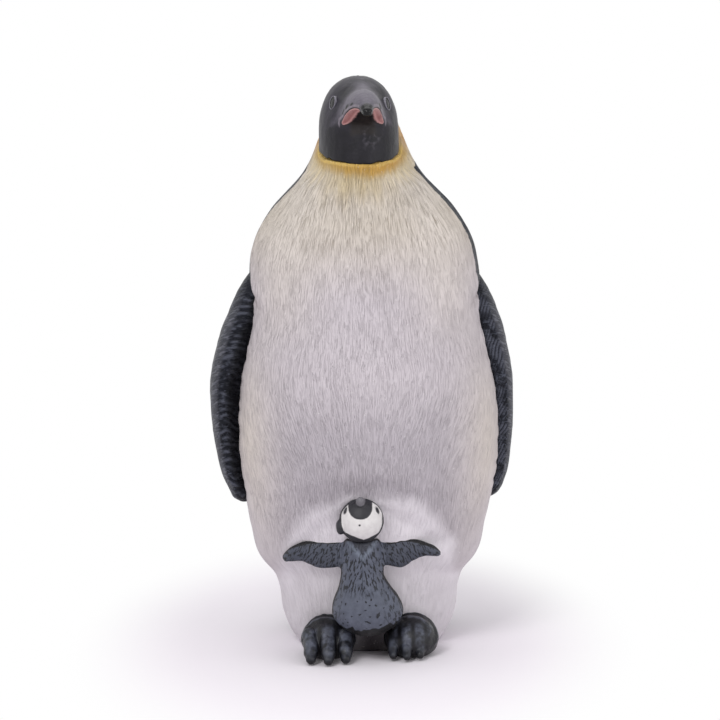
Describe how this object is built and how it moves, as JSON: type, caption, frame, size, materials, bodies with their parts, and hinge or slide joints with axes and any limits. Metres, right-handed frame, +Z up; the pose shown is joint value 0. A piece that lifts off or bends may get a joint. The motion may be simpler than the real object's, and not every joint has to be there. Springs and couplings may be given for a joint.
{
  "type": "penguin figurine",
  "caption": "Standing emperor penguin ornament with a chick on its feet: a hollow moulded torso with plugged-in head, flippers, feet and chick, hand-painted finish.",
  "frame": {"origin": "on the floor, under the upright axis of the torso, on the seam between its two halves", "axes": "+Z up along the torso's axis, -Y the way the belly faces, +X towards the penguin's own left"},
  "size_m": [0.0483, 0.0442, 0.09],
  "materials": {
    "white_paint": "matt off-white paint with a grey wash in the feather grooves",
    "slate_paint": "satin blue-black paint",
    "charcoal_paint": "satin charcoal paint",
    "black_paint": "satin black paint with grey dry-brushing",
    "grey_paint": "matt slate grey paint with a black wash",
    "chick_face_paint": "matt white face with a black hood"
  },
  "bodies": {
    "root": {"belly_shell": "white_paint", "back_shell": "slate_paint", "head": "charcoal_paint", "left_flipper": "slate_paint", "right_flipper": "slate_paint", "left_foot": "black_paint", "right_foot": "black_paint", "chick_body": "grey_paint", "chick_head": "chick_face_paint"}
  },
  "joints": []
}
